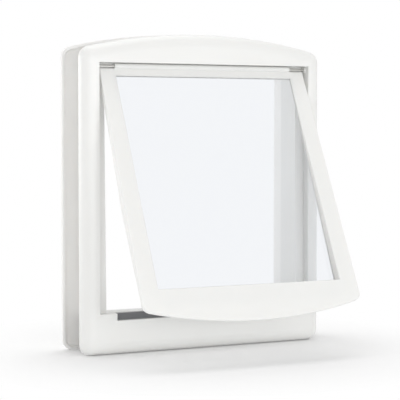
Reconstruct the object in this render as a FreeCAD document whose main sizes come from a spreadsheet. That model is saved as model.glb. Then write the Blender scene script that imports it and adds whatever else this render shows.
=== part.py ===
"""A white plastic cat flap for a door leaf: an outer frame with a short liner, an inner frame whose
sleeve telescopes over that liner, and a top-hung flap with a clear panel, standing open.

X runs along the width, +Y goes into the door from its outer face (the plane Y = 0), Z is up from the
bottom edge of the frames. Sizes are millimetres and degrees.
"""
import FreeCAD, Part
import os
import Sketcher
from FreeCAD import Placement, Rotation, Vector

SIZES = [
    ("frame_half", 99.0, "half of the outer frame's width"),
    ("frame_apex", 236.0, "height of the frames' arch at the middle"),
    ("arch_rise", 12.0, "how far the arch rises above the frames' sides"),
    ("frame_side", "=frame_apex - arch_rise", "height of the sides, where the arch starts"),
    ("frame_depth", 11.0, "depth of the outer frame in front of the door"),
    ("frame_wall", 2.4, "wall of the outer frame's moulding"),
    ("corner_low", 8.0, "radius of the frames' lower corners"),
    ("corner_high", 9.0, "radius of the frames' upper corners"),
    ("rim_straight", 0.8, "straight part of the outer frame's rim, next to the door"),
    ("front_round", "=frame_depth - rim_straight", "radius of the outer frame's front edge"),
    ("hollow_bevel", 4.8, "width of the bevel in the hollow behind that edge"),
    ("stile_wide", 12.2, "width of the face beside the opening"),
    ("head_wide", 10.3, "height of the face between the opening and the start of the arch"),
    ("sill_top", 31.7, "height of the sill"),
    ("mouth_half", "=frame_half - stile_wide", "half width of the opening in the face"),
    ("mouth_top", "=frame_side - head_wide", "top of the opening in the face"),
    ("mouth_wall", 2.0, "wall round the opening"),
    ("lip_wide", 7.2, "width of the stop lip inside the opening"),
    ("lip_tall", 7.2, "height of the stop lip under the opening's top"),
    ("lip_root", 0.6, "how far the liner's root reaches into the stop lip"),
    ("clear_half", "=mouth_half - lip_wide", "half of the clear width between the stop lips"),
    ("clear_top", "=mouth_top - lip_tall", "top of the clear way through the liner"),
    ("wedge_wide", 0.9, "width of the small wedges on the stop lip"),
    ("wedge_tall", 5.2, "height of a wedge"),
    ("wedge_rise", 1.1, "how far a wedge stands out at its lower end"),
    ("sill_reach", 5.4, "how far the sill reaches into the door"),
    ("sill_fall", 0.8, "how far the sill falls from the door's face to its front edge"),
    ("liner_step", 2.0, "how far the liner's floor lies below the sill"),
    ("liner_wall", 2.4, "wall of the liner"),
    ("liner_reach", 20.0, "how far the liner reaches into the door"),
    ("notch_inset", 13.4, "distance of the magnet notch from the opening's sides"),
    ("notch_half", "=mouth_half - notch_inset", "half length of the notch in the sill"),
    ("notch_tall", 5.2, "height of the notch in the face"),
    ("notch_depth", 4.0, "depth of the notch in front of the sill magnet"),
    ("notch_wall", 1.5, "wall round the notch"),
    ("sill_magnet_thick", 2.0, "thickness of the sill magnet"),
    ("magnet_gap", 0.2, "clearance of the sill magnet in its notch"),
    ("sleeve_gap", 0.3, "clearance of the sleeve round the liner"),
    ("sleeve_wall", 1.8, "wall of the inner frame's sleeve"),
    ("sleeve_start", 8.0, "where the sleeve begins inside the door"),
    ("leaf_gap", 30.0, "space for the door leaf between the two frames"),
    ("inner_depth", 6.0, "depth of the inner frame behind the door"),
    ("inner_margin", 1.4, "how far the inner frame is wider than the outer one"),
    ("inner_round", 3.5, "radius of the inner frame's outer edge"),
    ("inner_wall", 2.0, "wall of the inner frame's moulding"),
    ("axis_depth", 4.25, "hinge axis in front of the door"),
    ("axis_drop", 2.6, "hinge axis below the opening's top"),
    ("axis_height", "=mouth_top - axis_drop", "height of the hinge axis"),
    ("rest_angle", 26.6, "how far the flap stands open as stored"),
    ("closed_angle", 3.3, "angle of the flap against its stop"),
    ("stop_gap", 0.3, "gap between the closed flap and the stop lip"),
    ("flap_play", 2.2, "space between the flap's edges and the opening's sides"),
    ("flap_half", "=mouth_half - flap_play", "half of the flap's width at the axis"),
    ("flap_flare", 2.0, "how much further out the flap's lower corners stand"),
    ("rail_wide", 12.1, "width of the side rails"),
    ("window_half", "=flap_half - rail_wide", "half of the window's width"),
    ("window_start", 7.6, "top of the window below the axis"),
    ("sill_lap", 9.2, "how far the flap's lower corners reach past the sill, along the flap"),
    ("flap_corner", "=axis_height - sill_top + sill_lap", "lower corners of the flap below the axis"),
    ("flap_bow", 11.0, "how far the flap's curved lower edge bows out"),
    ("flap_tip", "=flap_corner + flap_bow", "lowest point of the flap below the axis"),
    ("foot_rail", 15.4, "bottom of the window above the flap's lower corners"),
    ("window_end", "=flap_corner - foot_rail", "bottom of the window below the axis"),
    ("flap_round", 6.5, "radius of the flap's lower corners"),
    ("flap_bevel", 0.5, "width of the bevel on the flap's front edges"),
    ("rail_start", 1.5, "top of the side rails below the axis"),
    ("rail_top_depth", 2.4, "depth of the side rails at the axis"),
    ("rail_low_depth", 9.0, "depth of the side rails at the window's bottom"),
    ("flank_wide", 4.0, "width of the thinner outer flank of the side rails"),
    ("flank_start", 112.0, "where the flanks begin to thin, below the axis"),
    ("flap_skin", 2.4, "thickness of the bottom rail"),
    ("tray_wall", 2.0, "wall of the flap frame below the panel"),
    ("panel_lap", 2.6, "how far the panel laps behind the rails"),
    ("panel_top_lap", 1.4, "how far the panel laps behind the top rail"),
    ("panel_thick", 1.2, "thickness of the clear panel"),
    ("retainer_thick", 0.8, "thickness of the back frame that holds the panel"),
    ("seat_gap", 0.1, "clearance round the panel and the back frame"),
    ("barrel_inset", 12.0, "distance of the barrel's ends from the flap's edges"),
    ("barrel_half", "=flap_half - barrel_inset", "half length of the hinge barrel"),
    ("barrel_rad", 2.1, "radius of the hinge barrel"),
    ("rod_rad", 1.0, "radius of the hinge rod"),
    ("rod_fit", 0.05, "running clearance of the rod in its bushes"),
    ("rod_play", 1.0, "space between the rod's ends and the bushes' ends"),
    ("bush_rad", 1.8, "outer radius of a bush"),
    ("bush_long", 4.6, "length of a bush behind its flange"),
    ("bush_flange", 2.35, "radius of a bush's flange"),
    ("bush_flange_thick", 0.8, "thickness of a bush's flange"),
    ("bush_boss_wall", 1.6, "wall of the boss round a bush"),
    ("flap_magnet_deep", 3.4, "depth of the flap's magnet strip"),
    ("flap_magnet_tall", 3.6, "height of the flap's magnet strip"),
    ("flap_magnet_inset", 4.0, "distance of the strip's ends from the notch's ends"),
    ("screw_inset", 25.0, "screw axes inside the frame's sides"),
    ("screw_low", 14.5, "height of the lower screws"),
    ("screw_drop", 4.0, "upper screws below the start of the arch"),
    ("screw_high", "=frame_side - screw_drop", "height of the upper screws"),
    ("screw_rad", 1.9, "radius of a screw's shank"),
    ("screw_fit", 0.05, "clearance of a screw in its boss"),
    ("screw_bite", 7.4, "how far a screw goes into its boss"),
    ("screw_end_gap", 0.3, "space past a screw's end"),
    ("screw_hole", 2.3, "radius of a screw hole in the inner frame"),
    ("head_rad", 3.4, "radius of a screw's head"),
    ("head_thick", 1.8, "thickness of a screw's head"),
    ("head_fit", 0.3, "clearance round a screw's head"),
    ("boss_rad", 3.9, "radius of a screw boss in the outer frame"),
    ("inner_boss_rad", 5.0, "radius of a screw boss in the inner frame"),
    ("cap_rad", 4.3, "radius of a screw cap"),
    ("cap_rise", 1.4, "height of a screw cap"),
    ("cap_bevel", 0.7, "width of the bevel on a screw cap's edge"),
    ("rib_thick", 1.4, "thickness of a stiffening rib"),
    ("rib_depth", 5.0, "depth of a rib behind the face plate"),
    ("rib_root", 0.3, "how far a rib's end reaches into a wall"),
    ("rib_inset", 4.0, "distance of the ribs' outer ends from the frame's outside"),
]

RIB_BAYS = 6
WEDGE_BAYS = 3

# Two places this close count as one, and anything shorter than the second counts as nothing
SAME = 1e-3
FLAT = 1e-6
# Edges this close round the hole in a cover belong to the hole
HOLE_MARGIN = 1.0

doc = FreeCAD.newDocument("CatFlap")
sheet = doc.addObject("Spreadsheet::Sheet", "Size")
for row, (alias, value, note) in enumerate(SIZES, start=1):
    sheet.set(f"A{row}", note)
    sheet.set(f"B{row}", str(value))
    sheet.setAlias(f"B{row}", alias)
doc.recompute()


NAMES = sorted((entry[0] for entry in SIZES), key=len, reverse=True)


def cells(text):
    """The expression text with each size's name led by the sheet's name."""
    for alias in NAMES:
        text = text.replace("@" + alias, "Size." + alias)
    return text


def amount(text):
    """The number that an expression gives now."""
    return float(sheet.evalExpression(cells(text)))


def new_body(label):
    body = doc.addObject("PartDesign::Body", label)
    body.Label = label
    return body


def new_sketch(body, name, role="XZ_Plane", offset="0"):
    """A sketch on one of the body's own planes, moved along the plane's normal."""
    sketch = body.newObject("Sketcher::SketchObject", body.Label + "_" + name)
    sketch.AttachmentSupport = [([p for p in body.Origin.OriginFeatures if p.Role == role][0], "")]
    sketch.MapMode = "FlatFace"
    sketch.setExpression("AttachmentOffset.Base.z", cells(offset))
    return sketch


def bind(sketch, kind, refs, text):
    """A driving constraint that follows the sheet."""
    value = amount(text)
    if kind in ("DistanceX", "DistanceY") and abs(value) < FLAT:
        geo, point = refs[2:]
        line = -2 if kind == "DistanceX" else -1
        sketch.addConstraint(Sketcher.Constraint("PointOnObject", geo, point, line))
        return
    index = sketch.addConstraint(Sketcher.Constraint(kind, *refs, value))
    sketch.setExpression(f"Constraints[{index}]", cells(text))


def loop(sketch, points, arc_after=None, rise=None):
    """A closed outline through points given as expressions. One stretch may be an arc that is
    symmetrical about the sketch's upright axis and stands out by rise, up or down."""
    spots = [Vector(amount(u), amount(v), 0) for u, v in points]
    first = sketch.GeometryCount
    count = len(spots)
    for i in range(count):
        start, end = spots[i], spots[(i + 1) % count]
        if i == arc_after:
            crown = Vector(0, start.y + amount(rise), 0)
            sketch.addGeometry(Part.Arc(start, crown, end), False)
        else:
            sketch.addGeometry(Part.LineSegment(start, end), False)
    ends = []
    for i in range(count):
        flipped = i == arc_after and (sketch.getPoint(first + i, 1) - spots[i]).Length > FLAT
        ends.append((2, 1) if flipped else (1, 2))
    for i in range(count):
        j = (i + 1) % count
        sketch.addConstraint(
            Sketcher.Constraint("Coincident", first + i, ends[i][1], first + j, ends[j][0]))
    for i, (u, v) in enumerate(points):
        bind(sketch, "DistanceX", (-1, 1, first + i, ends[i][0]), u)
        bind(sketch, "DistanceY", (-1, 1, first + i, ends[i][0]), v)
    if arc_after is not None:
        half = points[arc_after][0]
        radius = f"(({half})^2 + ({rise})^2) / (2 * abs({rise}))"
        bind(sketch, "Radius", (first + arc_after,), radius)
    return sketch


def box_loop(sketch, left, right, low, high):
    return loop(sketch, [(left, low), (right, low), (right, high), (left, high)])


def ring(sketch, u, v, radius):
    """A circle about a point given by expressions."""
    spot = Vector(amount(u), amount(v), 0)
    geo = sketch.addGeometry(Part.Circle(spot, Vector(0, 0, 1), amount(radius)), False)
    bind(sketch, "DistanceX", (-1, 1, geo, 3), u)
    bind(sketch, "DistanceY", (-1, 1, geo, 3), v)
    bind(sketch, "Radius", (geo,), radius)
    return sketch


def pad(body, sketch, length, back=False, both=False):
    """Material along the sketch's normal, against it (back) or to both sides."""
    feature = body.newObject("PartDesign::Pad", sketch.Label + "_pad")
    feature.Profile = sketch
    feature.setExpression("Length", cells(length))
    feature.Reversed = back
    feature.SideType = "Symmetric" if both else "One side"
    doc.recompute()
    return feature


def pocket(body, sketch, length=None, along=False, both=False):
    """A cut against the sketch's normal, or along it. No length means through everything."""
    before = body.Shape.Volume
    feature = body.newObject("PartDesign::Pocket", sketch.Label + "_cut")
    feature.Profile = sketch
    if length:
        feature.setExpression("Length", cells(length))
    else:
        feature.Type = "ThroughAll"
    feature.Reversed = along
    feature.SideType = "Symmetric" if both else "One side"
    doc.recompute()
    if not body.Shape.Volume < before:
        raise RuntimeError(feature.Label + " cut nothing")
    return feature


def soften(body, name, kind, setting, width, wanted):
    """Rounds or bevels the edges of the body's last feature that pass the test."""
    tip = body.Tip
    edges = [f"Edge{i}" for i, edge in enumerate(tip.Shape.Edges, 1) if wanted(edge)]
    if not edges:
        raise RuntimeError(body.Label + " has no edges for " + name)
    feature = body.newObject("PartDesign::" + kind, body.Label + "_" + name)
    feature.Base = (tip, edges)
    feature.setExpression(setting, cells(width))
    doc.recompute()


def fillet(body, name, radius, wanted):
    soften(body, name, "Fillet", "Radius", radius, wanted)


def bevel(body, name, width, wanted):
    soften(body, name, "Chamfer", "Size", width, wanted)


def mirror(body, name, originals):
    """The same features on the other side of the middle plane."""
    feature = body.newObject("PartDesign::Mirrored", body.Label + "_" + name)
    feature.Originals = originals
    middle = [p for p in body.Origin.OriginFeatures if p.Role == "YZ_Plane"][0]
    feature.MirrorPlane = (middle, [""])
    body.Tip = feature
    doc.recompute()
    return feature


def runs_deep(edge, half):
    """An edge straight along Y, this far from the middle."""
    box = edge.BoundBox
    return box.XLength < FLAT and box.ZLength < FLAT and abs(abs(box.Center.x) - half) < SAME


def at_depth(edge, depth):
    """An edge that lies wholly at one Y."""
    box = edge.BoundBox
    return box.YLength < FLAT and abs(box.YMin - depth) < SAME


def arched(sketch, half, low, side, apex):
    """The frames' outline: a flat foot, upright sides and an arched top."""
    corners = [(f"-({half})", low), (half, low), (half, side), (f"-({half})", side)]
    return loop(sketch, corners, arc_after=2, rise=f"({apex}) - ({side})")


FLOOR = "(@sill_top - @liner_step)"
SILL_FRONT = "(@sill_top - @sill_fall)"
RAIL_LEAN = "((@rail_low_depth - @rail_top_depth) / @window_end)"
LIP_LEAN = f"(tan(@closed_angle * 1 deg) - {RAIL_LEAN})"
SCREW_X = "(@frame_half - @screw_inset)"
SCREW_SPOTS = [(sign + SCREW_X, z) for z in ("@screw_low", "@screw_high") for sign in ("-", "")]
REAR = "(@leaf_gap + @inner_depth)"


def lip_face(height):
    """Y of the stop lip's front at a height, parallel to the closed flap's back."""
    return (f"(@rail_top_depth - @axis_depth + @stop_gap"
            f" - (@axis_height - ({height})) * {LIP_LEAN})")


def rail_back(drop):
    """Depth of the rails' back at a distance below the axis, in the flap's own frame."""
    return f"(@rail_top_depth + ({drop}) * {RAIL_LEAN})"


def make_cover(body, half, side, apex, depth, wall, edge, inner_bevel, hole, offset="0", back=False):
    """An arched cover, hollow on its door side except round the hole, with a rounded rim."""
    outline = new_sketch(body, "outline", offset=offset)
    arched(outline, half, "0", side, apex)
    pad(body, outline, depth, back=back)
    hollow = new_sketch(body, "hollow", offset=offset)
    arched(hollow, f"{half} - {wall}", wall, f"{side} - {wall}", f"{apex} - {wall}")
    box_loop(hollow, *hole)
    pocket(body, hollow, f"{depth} - {wall}", along=not back)
    rim, out, middle = amount(f"{half} - {wall}"), amount(half), amount(side) / 2
    corners = (("hollow_low", f"@corner_low - {wall}", rim, True),
               ("hollow_high", f"@corner_high - {wall}", rim, False),
               ("low_corners", "@corner_low", out, True), ("high_corners", "@corner_high", out, False))
    for name, radius, place, low in corners:
        fillet(body, name, radius,
               lambda e: runs_deep(e, place) and (e.BoundBox.Center.z < middle) == low)
    way = 1 if back else -1
    door = -amount(offset)
    fillet(body, "edge", edge, lambda e: at_depth(e, door + way * amount(depth)))
    plate = door + way * amount(f"{depth} - {wall}")
    left, low = (amount(text) - HOLE_MARGIN for text in (hole[0], hole[2]))
    right, high = (amount(text) + HOLE_MARGIN for text in (hole[1], hole[3]))
    bevel(body, "hollow_edge", inner_bevel,
          lambda e: at_depth(e, plate) and not (
              left < e.BoundBox.Center.x < right and low < e.BoundBox.Center.z < high))


def make_outer_frame():
    """The face plate with its rounded edge, hollow behind, with the stop lip and the liner."""
    body = new_body("outer_frame")
    make_cover(body, "@frame_half", "@frame_side", "@frame_apex", "@frame_depth", "@frame_wall",
               "@front_round", "@hollow_bevel",
               ("-(@mouth_half + @mouth_wall)", "@mouth_half + @mouth_wall",
                f"{SILL_FRONT} - @mouth_wall", "@mouth_top + @mouth_wall"))

    ribs = new_sketch(body, "ribs", offset="@frame_depth - @frame_wall")
    rim, wall = "(@frame_half - @rib_inset)", "(@mouth_half + @mouth_wall - @rib_root)"
    foot, sill_wall = "@rib_inset", f"({SILL_FRONT} - @mouth_wall + @rib_root)"
    head_wall, head = "(@mouth_top + @mouth_wall - @rib_root)", "(@frame_side - @rib_inset)"
    for step in range(1, RIB_BAYS):
        z = f"(@sill_top + (@mouth_top - @sill_top) * {step} / {RIB_BAYS})"
        for left, right in (("-" + rim, "-" + wall), (wall, rim)):
            box_loop(ribs, left, right, f"{z} - @rib_thick / 2", f"{z} + @rib_thick / 2")
        x = f"(@mouth_half * {2 * step - RIB_BAYS} / {RIB_BAYS})"
        for low, high in ((foot, sill_wall), (head_wall, head)):
            box_loop(ribs, f"{x} - @rib_thick / 2", f"{x} + @rib_thick / 2", low, high)
    pad(body, ribs, "@rib_depth", back=True)

    bosses = new_sketch(body, "screw_bosses")
    for x, z in SCREW_SPOTS:
        ring(bosses, x, z, "@boss_rad")
    pad(body, bosses, "@frame_depth - @frame_wall + @rib_root")
    bores = new_sketch(body, "screw_bores")
    for x, z in SCREW_SPOTS:
        ring(bores, x, z, "@screw_rad + @screw_fit")
    pocket(body, bores, "@screw_bite + @screw_end_gap", along=True)

    block = new_sketch(body, "notch_block",
                       offset="@frame_depth - @notch_depth - @sill_magnet_thick - @notch_wall")
    box_loop(block, "-(@notch_half + @notch_wall)", "@notch_half + @notch_wall",
             f"{SILL_FRONT} - @notch_tall - @notch_wall", "@sill_top")
    pad(body, block, "@notch_depth + @sill_magnet_thick + @notch_wall")

    mouth = new_sketch(body, "mouth")
    box_loop(mouth, "-@mouth_half", "@mouth_half", "@sill_top", "@mouth_top")
    pocket(body, mouth, along=True)

    fall = new_sketch(body, "sill_fall", role="YZ_Plane")
    loop(fall, [("-@lip_root", "@sill_top"), ("-(@frame_depth + @frame_wall)", "@sill_top"),
                ("-(@frame_depth + @frame_wall)", SILL_FRONT), ("-@frame_depth", SILL_FRONT)])
    pocket(body, fall, "2 * @mouth_half", both=True)

    lip = new_sketch(body, "lip")
    low, side, top = f"({SILL_FRONT} - @mouth_wall / 2)", "(@mouth_half + @mouth_wall / 2)", "@clear_top"
    loop(lip, [("-" + side, low), ("-@clear_half", low), ("-@clear_half", top), ("@clear_half", top),
               ("@clear_half", low), (side, low), (side, "@mouth_top + @mouth_wall / 2"),
               ("-" + side, "@mouth_top + @mouth_wall / 2")])
    pad(body, lip, "@axis_depth + @lip_root")
    slope = new_sketch(body, "lip_slope", role="YZ_Plane")
    loop(slope, [("-(@frame_depth + @frame_wall)", SILL_FRONT), (lip_face(SILL_FRONT), SILL_FRONT),
                 (lip_face("@mouth_top"), "@mouth_top"), ("-(@frame_depth + @frame_wall)", "@mouth_top")])
    pocket(body, slope, "2 * @mouth_half", both=True)

    sill = new_sketch(body, "sill", offset="@lip_root")
    box_loop(sill, "-(@clear_half + @liner_wall)", "@clear_half + @liner_wall",
             f"{FLOOR} - @liner_wall", "@sill_top")
    pad(body, sill, "@sill_reach + @lip_root", back=True)
    liner = new_sketch(body, "liner", offset="@lip_root")
    box_loop(liner, "-(@clear_half + @liner_wall)", "@clear_half + @liner_wall",
             f"{FLOOR} - @liner_wall", "@clear_top + @liner_wall")
    box_loop(liner, "-@clear_half", "@clear_half", FLOOR, "@clear_top")
    pad(body, liner, "@liner_reach + @lip_root", back=True)

    notch = new_sketch(body, "notch", offset="@frame_depth - @notch_depth - @sill_magnet_thick")
    box_loop(notch, "-@notch_half", "@notch_half", f"{SILL_FRONT} - @notch_tall", "@sill_top + @notch_wall")
    pocket(body, notch, along=True)

    boss = new_sketch(body, "bush_boss", role="YZ_Plane", offset="@mouth_half + @mouth_wall / 2")
    ring(boss, "-@axis_depth", "@axis_height", "@bush_rad + @bush_boss_wall")
    boss_pad = pad(body, boss, "@bush_long")
    bore = new_sketch(body, "bush_bore", role="YZ_Plane", offset="@mouth_half + @bush_long")
    ring(bore, "-@axis_depth", "@axis_height", "@bush_rad")
    bore_cut = pocket(body, bore, "@bush_long")
    mirror(body, "bush_mirror", [boss_pad, bore_cut])

    wedges = new_sketch(body, "wedges", role="YZ_Plane", offset="@mouth_half - @wedge_wide")
    for step in range(WEDGE_BAYS):
        middle = f"(@sill_top + (@axis_height - @sill_top) * {2 * step + 1} / {2 * WEDGE_BAYS})"
        low, high = f"({middle} - @wedge_tall / 2)", f"({middle} + @wedge_tall / 2)"
        loop(wedges, [(f"{lip_face(low)} - @wedge_rise", low), (f"{lip_face(low)} + @lip_root", low),
                      (f"{lip_face(high)} + @lip_root", high), (lip_face(high), high)])
    wedge_pad = pad(body, wedges, "@wedge_wide + @lip_root")
    mirror(body, "wedge_mirror", [wedge_pad])
    return body


def make_inner_frame():
    """The flange on the inner side, hollow towards the door, and its sleeve over the liner."""
    body = new_body("inner_frame")
    out_half = "@clear_half + @liner_wall + @sleeve_gap + @sleeve_wall"
    out_low = f"{FLOOR} - @liner_wall - @sleeve_gap - @sleeve_wall"
    out_high = "@clear_top + @liner_wall + @sleeve_gap + @sleeve_wall"
    make_cover(body, "(@frame_half + @inner_margin)", "(@frame_side + @inner_margin)",
               "(@frame_apex + @inner_margin)", "@inner_depth", "@inner_wall", "@inner_round",
               "@inner_round - @inner_wall",
               (f"-({out_half})", out_half, out_low, out_high), offset="-@leaf_gap", back=True)

    bosses = new_sketch(body, "screw_bosses", offset="-@leaf_gap")
    for x, z in SCREW_SPOTS:
        ring(bosses, x, z, "@inner_boss_rad")
    pad(body, bosses, "@inner_depth - @inner_wall / 2", back=True)

    sleeve = new_sketch(body, "sleeve", offset="-@sleeve_start")
    box_loop(sleeve, f"-({out_half})", out_half, out_low, out_high)
    pad(body, sleeve, f"{REAR} - @sleeve_start", back=True)
    way = new_sketch(body, "way", offset="-@sleeve_start")
    box_loop(way, f"-({out_half} - @sleeve_wall)", f"{out_half} - @sleeve_wall",
             f"{out_low} + @sleeve_wall", f"{out_high} - @sleeve_wall")
    pocket(body, way)

    holes = new_sketch(body, "screw_holes", offset="-@leaf_gap")
    for x, z in SCREW_SPOTS:
        ring(holes, x, z, "@screw_hole")
    pocket(body, holes)
    seats = new_sketch(body, "head_seats", offset=f"-({REAR} - @head_thick)")
    for x, z in SCREW_SPOTS:
        ring(seats, x, z, "@head_rad + @head_fit")
    pocket(body, seats)
    return body


def hang(body):
    """Puts a piece that is drawn about the hinge axis on that axis, open by the stored angle."""
    body.Placement = Placement(Vector(), Rotation(Vector(-1, 0, 0), 1))
    body.setExpression("Placement.Rotation.Angle", cells("@rest_angle"))
    body.setExpression("Placement.Base.y", cells("-@axis_depth"))
    body.setExpression("Placement.Base.z", cells("@axis_height"))
    doc.recompute()
    return body


def slanted(sketch, front, back, top, end):
    """A side profile between two depths in front of the rails' sloping back."""
    loop(sketch, [(f"{rail_back(top)} - ({front})", f"-({top})"),
                  (f"{rail_back(end)} - ({front})", f"-({end})"),
                  (f"{rail_back(end)} - ({back})", f"-({end})"),
                  (f"{rail_back(top)} - ({back})", f"-({top})")])
    return sketch


SEAT_TOP = "(@window_start - @panel_top_lap)"
SEAT_END = "(@window_end + @panel_lap)"
SEAT_HALF = "(@window_half + @panel_lap)"


def window(body):
    cut = new_sketch(body, "window")
    box_loop(cut, "-@window_half", "@window_half", "-@window_end", "-@window_start")
    return cut


def make_flap_frame():
    """Wedge-shaped side rails, a thin bottom rail with a curved edge, and the hinge barrel."""
    body = new_body("flap_frame")
    outline = new_sketch(body, "outline")
    low_half = "(@flap_half + @flap_flare)"
    loop(outline, [("@flap_half", "-@rail_start"), ("-@flap_half", "-@rail_start"),
                   ("-" + low_half, "-@flap_corner"), (low_half, "-@flap_corner")],
         arc_after=2, rise="@flap_corner - @flap_tip")
    pad(body, outline, "@rail_low_depth + @flap_skin", back=True)
    half, corner = amount(low_half), amount("@flap_corner")
    fillet(body, "low_corners", "@flap_round",
           lambda e: runs_deep(e, half) and abs(e.BoundBox.ZMin + corner) < SAME)
    opening = window(body)
    pocket(body, opening)
    bevel(body, "front_edge", "@flap_bevel", lambda e: at_depth(e, 0))

    beyond = "@rail_low_depth + 2 * @flap_skin"
    tray_end = f"({SEAT_END} + @tray_wall)"
    back = new_sketch(body, "back", role="YZ_Plane")
    loop(back, [(rail_back("0"), "0"), (rail_back(tray_end), f"-{tray_end}"),
                ("@flap_skin", f"-{tray_end}"), ("@flap_skin", "-(@flap_tip + @flap_skin)"),
                (beyond, "-(@flap_tip + @flap_skin)"), (beyond, "0")])
    pocket(body, back, both=True)
    flank = new_sketch(body, "flank", role="YZ_Plane", offset="@flap_half - @flank_wide")
    loop(flank, [(rail_back("@flank_start"), "-@flank_start"), ("@flap_skin", f"-{tray_end}"),
                 (beyond, f"-{tray_end}"), (beyond, "-@flank_start")])
    flank_cut = pocket(body, flank, "@flank_wide + 2 * @flap_flare", along=True)
    mirror(body, "flank_mirror", [flank_cut])
    seat = new_sketch(body, "seat", role="YZ_Plane")
    slanted(seat, "@panel_thick + @retainer_thick", "-@flap_skin", SEAT_TOP, SEAT_END)
    pocket(body, seat, f"2 * {SEAT_HALF}", both=True)

    web = new_sketch(body, "web")
    box_loop(web, "-@barrel_half", "@barrel_half", f"-{SEAT_TOP}", "0")
    pad(body, web, "@rail_top_depth", back=True)
    barrel = new_sketch(body, "barrel", role="YZ_Plane")
    ring(barrel, "0", "0", "@barrel_rad")
    pad(body, barrel, "2 * @barrel_half", both=True)
    bore = new_sketch(body, "rod_bore", role="YZ_Plane")
    ring(bore, "0", "0", "@rod_rad + @rod_fit / 2")
    pocket(body, bore, both=True)
    return hang(body)


def make_flap_panel():
    body = new_body("flap_panel")
    sheet_side = new_sketch(body, "side", role="YZ_Plane")
    slanted(sheet_side, "@panel_thick + @retainer_thick", "@retainer_thick",
            f"{SEAT_TOP} + @seat_gap", f"{SEAT_END} - @seat_gap")
    pad(body, sheet_side, f"2 * ({SEAT_HALF} - @seat_gap)", both=True)
    return hang(body)


def make_flap_back_frame():
    """The frame that is snapped in behind the panel."""
    body = new_body("flap_back_frame")
    side = new_sketch(body, "side", role="YZ_Plane")
    slanted(side, "@retainer_thick", "0", f"{SEAT_TOP} + @seat_gap", f"{SEAT_END} - @seat_gap")
    pad(body, side, f"2 * ({SEAT_HALF} - @seat_gap)", both=True)
    opening = window(body)
    pocket(body, opening)
    return hang(body)


def make_hinge_rod():
    body = new_body("hinge_rod")
    section = new_sketch(body, "section", role="YZ_Plane")
    ring(section, "0", "0", "@rod_rad")
    pad(body, section, "2 * (@mouth_half + @bush_long - @rod_play)", both=True)
    return hang(body)


def make_flap_magnet():
    """The strip on the back of the bottom rail that swings into the sill's notch."""
    body = new_body("flap_magnet")
    strip = new_sketch(body, "strip", offset="-@flap_skin")
    middle = f"(@axis_height - {SILL_FRONT} + @notch_tall / 2)"
    half = "(@notch_half - @flap_magnet_inset)"
    box_loop(strip, "-" + half, half,
             f"-({middle} + @flap_magnet_tall / 2)", f"-({middle} - @flap_magnet_tall / 2)")
    pad(body, strip, "@flap_magnet_deep", back=True)
    return hang(body)


def make_bush(label, sign, back):
    """A flanged bush in the side wall of the opening, on the left (-) or the right."""
    body = new_body(label)
    flange = new_sketch(body, "flange", role="YZ_Plane", offset=f"{sign}(@mouth_half)")
    ring(flange, "-@axis_depth", "@axis_height", "@bush_flange")
    ring(flange, "-@axis_depth", "@axis_height", "@rod_rad + @rod_fit")
    pad(body, flange, "@bush_flange_thick", back=not back)
    tube = new_sketch(body, "tube", role="YZ_Plane", offset=f"{sign}(@mouth_half)")
    ring(tube, "-@axis_depth", "@axis_height", "@bush_rad")
    ring(tube, "-@axis_depth", "@axis_height", "@rod_rad + @rod_fit")
    pad(body, tube, "@bush_long", back=back)
    return body


def make_sill_magnet():
    body = new_body("sill_magnet")
    strip = new_sketch(body, "strip", offset="@frame_depth - @notch_depth - @sill_magnet_thick")
    box_loop(strip, "-(@notch_half - @magnet_gap)", "@notch_half - @magnet_gap",
             f"{SILL_FRONT} - @notch_tall", f"{SILL_FRONT} - @magnet_gap")
    pad(body, strip, "@sill_magnet_thick")
    return body


def make_screw(label, x, z):
    """A long screw from the inner frame through the door leaf into the outer frame's boss."""
    body = new_body(label)
    shank = new_sketch(body, "shank", offset=f"-({REAR} - @head_thick)")
    ring(shank, x, z, "@screw_rad")
    pad(body, shank, f"{REAR} - @head_thick + @screw_bite")
    head = new_sketch(body, "head", offset=f"-({REAR} - @head_thick)")
    ring(head, x, z, "@head_rad")
    pad(body, head, "@head_thick", back=True)
    return body


def make_cap(label, x, z):
    body = new_body(label)
    disc = new_sketch(body, "disc", offset=f"-{REAR}")
    ring(disc, x, z, "@cap_rad")
    pad(body, disc, "@cap_rise", back=True)
    rear = amount(f"{REAR} + @cap_rise")
    bevel(body, "edge", "@cap_bevel", lambda e: at_depth(e, rear))
    return body


pieces = [make_outer_frame(), make_inner_frame(), make_flap_frame(), make_flap_panel(),
          make_flap_back_frame(), make_hinge_rod(), make_flap_magnet(), make_sill_magnet(),
          make_bush("hinge_bush_left", "-", True), make_bush("hinge_bush_right", "", False)]
for number, (screw_x, screw_z) in enumerate(SCREW_SPOTS, 1):
    pieces.append(make_screw(f"frame_screw_{number}", screw_x, screw_z))
    pieces.append(make_cap(f"screw_cap_{number}", screw_x, screw_z))
doc.recompute()

for item in doc.Objects:
    if "Invalid" in item.State or "Error" in item.State:
        raise RuntimeError(f"{item.Label} failed: {item.State}")
for piece in pieces:
    shape = piece.Shape
    if shape.isNull() or not shape.isValid() or len(shape.Solids) != 1:
        raise RuntimeError(f"{piece.Label} is not one valid solid")
os.makedirs("parts", exist_ok=True)
for piece in pieces:
    piece.Shape.exportStep(f"parts/{piece.Label}.step")
print(len(pieces), "pieces written")
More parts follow.
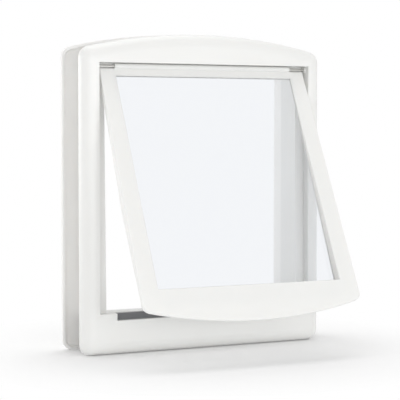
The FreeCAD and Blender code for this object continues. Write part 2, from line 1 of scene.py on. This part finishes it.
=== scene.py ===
"""The cat flap dressed for a studio picture: white moulded plastic, a clear panel, and the small
hardware that holds it together, standing on a white table with the flap swung open."""
import math
import bpy
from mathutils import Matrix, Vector

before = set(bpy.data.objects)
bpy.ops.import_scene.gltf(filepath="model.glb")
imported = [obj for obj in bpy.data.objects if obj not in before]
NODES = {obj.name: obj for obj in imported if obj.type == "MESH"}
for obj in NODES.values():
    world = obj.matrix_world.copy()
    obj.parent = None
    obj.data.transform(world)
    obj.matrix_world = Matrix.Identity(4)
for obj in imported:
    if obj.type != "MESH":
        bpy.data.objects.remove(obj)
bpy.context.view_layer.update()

# Camera, from a fit of the frames' and the flap's edges in the picture, with its place in metres
EYE = Vector((-0.46359, -0.95079, 0.16597))
HEADING_DEG = 25.94
PITCH_DEG = 2.93
LENS_MM = 126.0
SENSOR_MM = 36.0
FARTHEST_SEEN = 100.0

# Floor, in metres: the shadow is kept within the reach, and from the white distance on it is plain white
FLOOR_SIDE = 30.0
SHADOW_REACH = 0.11
WHITE_FROM = 0.205
WHITE = (1, 1, 1, 1)

# Sizes of the surface patterns, in millimetres
CLOUD_MM = 38.0
MOULD_GRAIN_MM = 0.5
SHEET_WAVE_MM = 60.0
PLATING_MARK_MM = 0.8

# How much glossier and duller than its mean a moulding gets in places
GLOSSIER = 0.04
DULLER = 0.05

# The screws and their caps are numbered from one to four
SCREW_NUMBERS = range(1, 5)


def linear(hex_colour):
    """An sRGB hex colour as linear values, with full alpha."""
    out = []
    for i in (1, 3, 5):
        c = int(hex_colour[i:i + 2], 16) / 255
        out.append(c / 12.92 if c <= 0.04045 else ((c + 0.055) / 1.055) ** 2.4)
    return (*out, 1.0)


def node(tree, kind, inputs=None, links=None, **settings):
    """Adds a node with its settings, its input values and its links: input name to (node, output)."""
    made = tree.nodes.new(kind)
    for key, value in settings.items():
        setattr(made, key, value)
    for key, value in (inputs or {}).items():
        made.inputs[key].default_value = value
    for key, (source, output) in (links or {}).items():
        tree.links.new(source.outputs[output], made.inputs[key])
    return made


def new_material(name):
    """An empty material and its node tree."""
    material = bpy.data.materials.new(name)
    material.use_nodes = True
    tree = material.node_tree
    tree.nodes.clear()
    return material, tree


def per_metre(size_mm):
    """Texture scale for a pattern whose features are this many millimetres apart."""
    return 1000.0 / size_mm


def moulded_abs(name, tone, shade, roughness):
    """Injection-moulded ABS: an even, slightly soft gloss over a fine spark-eroded grain, with the
    faint cloudiness of a thick white moulding. The grain is drawn coarser than real so it shows."""
    material, tree = new_material(name)
    place = node(tree, "ShaderNodeTexCoord")
    cloud = node(tree, "ShaderNodeTexNoise", {"Scale": per_metre(CLOUD_MM), "Detail": 2.0},
                 {"Vector": (place, "Object")})
    tint = node(tree, "ShaderNodeMix", {"A": linear(tone), "B": linear(shade)},
                {"Factor": (cloud, "Fac")}, data_type="RGBA")
    grain = node(tree, "ShaderNodeTexNoise", {"Scale": per_metre(MOULD_GRAIN_MM), "Detail": 3.0},
                 {"Vector": (place, "Object")})
    bump = node(tree, "ShaderNodeBump", {"Strength": 0.10, "Distance": 0.00005},
                {"Height": (grain, "Fac")})
    sheen = node(tree, "ShaderNodeMapRange",
                 {"To Min": roughness - GLOSSIER, "To Max": roughness + DULLER},
                 {"Value": (cloud, "Fac")})
    shader = node(tree, "ShaderNodeBsdfPrincipled",
                  {"IOR": 1.53, "Specular IOR Level": 0.45, "Subsurface Weight": 0.3,
                   "Subsurface Radius": (1.0, 0.95, 0.9), "Subsurface Scale": 0.004},
                  {"Base Color": (tint, "Result"), "Roughness": (sheen, "Result"),
                   "Normal": (bump, "Normal")})
    node(tree, "ShaderNodeOutputMaterial", links={"Surface": (shader, "BSDF")})
    return material


def clear_polycarbonate(name, tone, passing):
    """Extruded clear sheet: lets nearly everything through with a cool cast, and reflects softly over
    faint waves. Light that isn't seen directly passes straight through, a little weakened, so that
    what lies behind is lit and the flap still casts a soft shadow."""
    material, tree = new_material(name)
    place = node(tree, "ShaderNodeTexCoord")
    waves = node(tree, "ShaderNodeTexNoise", {"Scale": per_metre(SHEET_WAVE_MM), "Detail": 1.0},
                 {"Vector": (place, "Object")})
    bump = node(tree, "ShaderNodeBump", {"Strength": 0.05, "Distance": 0.0002},
                {"Height": (waves, "Fac")})
    shader = node(tree, "ShaderNodeBsdfPrincipled",
                  {"Base Color": linear(tone), "Roughness": 0.04, "IOR": 1.585,
                   "Transmission Weight": 1.0}, {"Normal": (bump, "Normal")})
    path = node(tree, "ShaderNodeLightPath")
    unseen = node(tree, "ShaderNodeMath",
                  links={0: (path, "Is Shadow Ray"), 1: (path, "Is Diffuse Ray")},
                  operation="MAXIMUM")
    through = node(tree, "ShaderNodeBsdfTransparent", {"Color": linear(passing)})
    both = node(tree, "ShaderNodeMixShader",
                links={0: (unseen, "Value"), 1: (shader, "BSDF"), 2: (through, "BSDF")})
    node(tree, "ShaderNodeOutputMaterial", links={"Surface": (both, "Shader")})
    return material


def plated_steel(name, tone, glossiest, dullest):
    """Bright zinc-plated steel: a soft metal whose gloss changes in small patches, drawn coarser than
    real so they show."""
    material, tree = new_material(name)
    place = node(tree, "ShaderNodeTexCoord")
    marks = node(tree, "ShaderNodeTexNoise", {"Scale": per_metre(PLATING_MARK_MM), "Detail": 3.0},
                 {"Vector": (place, "Object")})
    rough = node(tree, "ShaderNodeMapRange", {"To Min": glossiest, "To Max": dullest},
                 {"Value": (marks, "Fac")})
    shader = node(tree, "ShaderNodeBsdfPrincipled", {"Base Color": linear(tone), "Metallic": 1.0},
                  {"Roughness": (rough, "Result")})
    node(tree, "ShaderNodeOutputMaterial", links={"Surface": (shader, "BSDF")})
    return material


def plain_matte(name, tone, shade, roughness, grain_mm, strength):
    """A matte surface with a grain, such as bonded magnet rubber or moulded nylon. The grain is drawn
    coarser than real so it shows."""
    material, tree = new_material(name)
    place = node(tree, "ShaderNodeTexCoord")
    grain = node(tree, "ShaderNodeTexNoise", {"Scale": per_metre(grain_mm), "Detail": 4.0},
                 {"Vector": (place, "Object")})
    tint = node(tree, "ShaderNodeMix", {"A": linear(tone), "B": linear(shade)},
                {"Factor": (grain, "Fac")}, data_type="RGBA")
    bump = node(tree, "ShaderNodeBump", {"Strength": strength, "Distance": 0.0003},
                {"Height": (grain, "Fac")})
    shader = node(tree, "ShaderNodeBsdfPrincipled", {"Roughness": roughness},
                  {"Base Color": (tint, "Result"), "Normal": (bump, "Normal")})
    node(tree, "ShaderNodeOutputMaterial", links={"Surface": (shader, "BSDF")})
    return material


def dress(material, *names):
    """Gives carried-over pieces their finish."""
    for name in names:
        mesh = NODES[name].data
        mesh.materials.clear()
        mesh.materials.append(material)


def set_camera():
    """A long lens, low and to the left of the object, as in the picture."""
    data = bpy.data.cameras.new("camera")
    data.lens = LENS_MM
    data.sensor_width = SENSOR_MM
    data.clip_end = FARTHEST_SEEN
    camera = bpy.data.objects.new("camera", data)
    camera.location = EYE
    camera.rotation_euler = (math.radians(90 - PITCH_DEG), 0, math.radians(-HEADING_DEG))
    bpy.context.scene.collection.objects.link(camera)
    bpy.context.scene.camera = camera


def lamp(name, spot, aim, wide, tall, watts):
    """A soft box at a spot, pointing at its aim, with its sides in metres."""
    data = bpy.data.lights.new(name, "AREA")
    data.shape = "RECTANGLE"
    data.size = wide
    data.size_y = tall
    data.energy = watts
    soft_box = bpy.data.objects.new(name, data)
    soft_box.location = spot
    soft_box.rotation_euler = (Vector(aim) - Vector(spot)).to_track_quat("-Z", "Y").to_euler()
    bpy.context.scene.collection.objects.link(soft_box)


def seen_by_eye(tree):
    """One for rays that the picture shows directly, in a reflection or through the panel, else nought."""
    path = node(tree, "ShaderNodeLightPath")
    seen = node(tree, "ShaderNodeMath",
                links={0: (path, "Is Camera Ray"), 1: (path, "Is Glossy Ray")},
                operation="MAXIMUM")
    return node(tree, "ShaderNodeMath",
                links={0: (seen, "Value"), 1: (path, "Is Transmission Ray")},
                operation="MAXIMUM")


def set_world(strength):
    """An even studio light, white to the eye."""
    world = bpy.data.worlds.new("studio")
    bpy.context.scene.world = world
    world.use_nodes = True
    tree = world.node_tree
    tree.nodes.clear()
    seen = seen_by_eye(tree)
    level = node(tree, "ShaderNodeMapRange", {"To Min": strength, "To Max": 1.0},
                 {"Value": (seen, "Value")})
    light = node(tree, "ShaderNodeBackground", {"Color": WHITE}, {"Strength": (level, "Result")})
    node(tree, "ShaderNodeOutputWorld", links={"Surface": (light, "Background")})


def set_floor(albedo, near_lift):
    """A white table top that keeps the object's shadow. The eye sees it a little lifted near the object
    and plain white further out, so that no horizon shows."""
    bpy.ops.object.select_all(action="DESELECT")
    bpy.ops.mesh.primitive_plane_add(size=FLOOR_SIDE, location=(0, 0, 0))
    floor = bpy.context.object
    floor.name = "table_top"
    material, tree = new_material("white_table")
    seen = seen_by_eye(tree)
    place = node(tree, "ShaderNodeTexCoord")
    away = node(tree, "ShaderNodeVectorMath", links={0: (place, "Object")}, operation="LENGTH")
    white = node(tree, "ShaderNodeMapRange",
                 {"From Min": SHADOW_REACH, "From Max": WHITE_FROM, "To Min": near_lift, "To Max": 1.0},
                 {"Value": (away, "Value")})
    share = node(tree, "ShaderNodeMath", links={0: (seen, "Value"), 1: (white, "Result")},
                 operation="MULTIPLY")
    lit = node(tree, "ShaderNodeBsdfDiffuse", {"Color": (albedo, albedo, albedo, 1)})
    glow = node(tree, "ShaderNodeEmission", {"Color": WHITE})
    both = node(tree, "ShaderNodeMixShader",
                links={0: (share, "Value"), 1: (lit, "BSDF"), 2: (glow, "Emission")})
    node(tree, "ShaderNodeOutputMaterial", links={"Surface": (both, "Shader")})
    floor.data.materials.append(material)


white_abs = moulded_abs("white_abs_moulded", "#e9e9e7", "#e6e6e4", roughness=0.36)
# The inner frame and its screw caps get a white that is painted lighter than the outer frame's: a painted
# lift of the shade in the tunnel and in the gap between the frames.
inner_abs_painted_lighter = moulded_abs("white_abs_inner_painted_lighter", "#f3f2f0", "#f0efed", roughness=0.42)
clear_sheet = clear_polycarbonate("clear_polycarbonate_sheet", "#f3f5f8", passing="#eaeaea")
steel = plated_steel("zinc_plated_steel", "#c9c9c6", glossiest=0.24, dullest=0.42)
nylon = plain_matte("white_nylon_moulded", "#ebebe9", "#e5e5e3",
                    roughness=0.5, grain_mm=1.2, strength=0.1)
magnet_rubber = plain_matte("bonded_magnet_rubber", "#747577", "#68696b",
                            roughness=0.6, grain_mm=0.6, strength=0.2)

dress(white_abs, "outer_frame", "flap_frame", "flap_back_frame")
dress(inner_abs_painted_lighter, "inner_frame", *(f"screw_cap_{i}" for i in SCREW_NUMBERS))
dress(clear_sheet, "flap_panel")
dress(steel, "hinge_rod", *(f"frame_screw_{i}" for i in SCREW_NUMBERS))
dress(nylon, "hinge_bush_left", "hinge_bush_right")
dress(magnet_rubber, "sill_magnet", "flap_magnet")

set_camera()
set_world(strength=0.69)
set_floor(albedo=0.98, near_lift=0.06)
lamp("overhead", spot=(0.05, 0.45, 1.45), aim=(0, 0, 0), wide=1.2, tall=1.2, watts=6.5)
lamp("front", spot=(-0.3, -2.1, 0.27), aim=(0, 0, 0.08), wide=2.6, tall=0.45, watts=17.3)
lamp("left_rear", spot=(-1.4, 1.3, 0.3), aim=(0, 0, 0.1), wide=1.0, tall=0.5, watts=7.0)
bpy.context.scene.view_settings.view_transform = "Standard"
